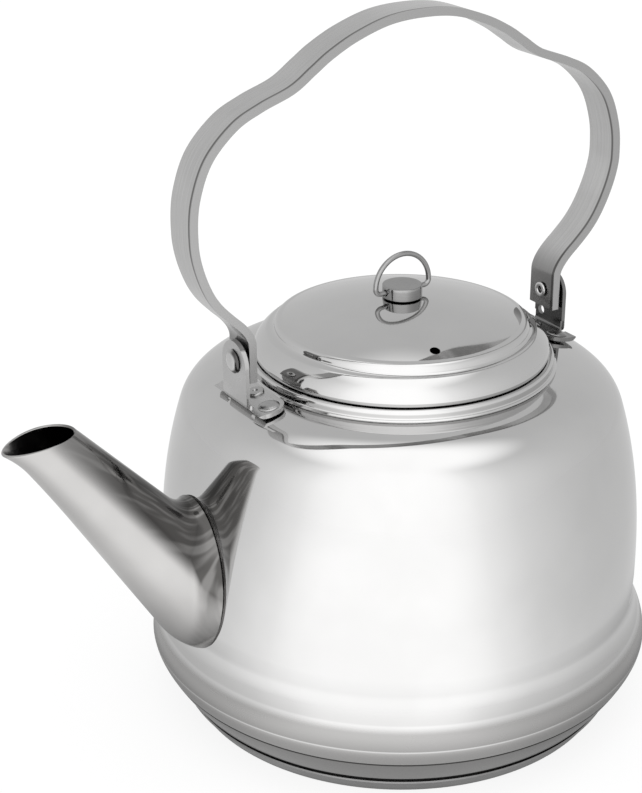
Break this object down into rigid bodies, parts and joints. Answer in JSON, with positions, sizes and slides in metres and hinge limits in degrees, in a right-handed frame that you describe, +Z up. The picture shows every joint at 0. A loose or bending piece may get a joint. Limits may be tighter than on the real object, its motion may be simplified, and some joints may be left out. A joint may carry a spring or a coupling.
{
  "type": "tea kettle",
  "caption": "Mirror-polished stainless steel tea kettle with a welded conical spout, a lift-off lid with a ring pull and a swinging strap handle.",
  "frame": {"origin": "centre of the flat underside of the base disc", "axes": "+Z up, -X towards the spout, handle standing in the XZ plane and swinging about X"},
  "size_m": [0.2606, 0.1976, 0.27],
  "materials": {
    "base_disc": "satin, steel-skinned aluminium core",
    "polished_shell": "mirror polished",
    "polished_spout": "mirror polished",
    "polished_lid": "mirror polished",
    "plain_inside": "satin",
    "satin_strap": "fine satin with bright rounded edges",
    "satin_bracket": "satin",
    "rivet_steel": "semi-bright",
    "knob_steel": "turned, polished",
    "ring_wire": "drawn wire"
  },
  "bodies": {
    "pot": {"base_disc": "base_disc", "body_shell": "polished_shell", "neck_collar": "polished_shell", "spout": "polished_spout", "bracket_front": "satin_bracket", "bracket_rear": "satin_bracket", "pivot_rivet_front": "rivet_steel", "pivot_rivet_rear": "rivet_steel", "foot_rivet_front_left": "rivet_steel", "foot_rivet_front_right": "rivet_steel", "foot_rivet_rear_left": "rivet_steel", "foot_rivet_rear_right": "rivet_steel", "foot_stud_front": "rivet_steel", "foot_stud_rear": "rivet_steel"},
    "handle": {"handle_strap": "satin_strap"},
    "lid": {"lid_shell": "polished_lid", "lid_skirt": "plain_inside", "lid_knob": "knob_steel", "knob_screw": "plain_inside", "knob_washer": "plain_inside"},
    "ring": {"ring_pull": "ring_wire"}
  },
  "joints": [
    {"name": "handle_swing", "type": "hinge", "parent": "pot", "child": "handle", "pos_m": [0, 0, 0.1528], "axis": [1, 0, 0], "range_deg": [-86, 86]},
    {"name": "lid_lift", "type": "slide", "parent": "pot", "child": "lid", "axis": [0, 0, 1], "range_m": [0, 0.05]},
    {"name": "ring_flip", "type": "hinge", "parent": "lid", "child": "ring", "pos_m": [0, 0, 0.1657], "axis": [1, 0, 0], "range_deg": [-95, 95]}
  ]
}
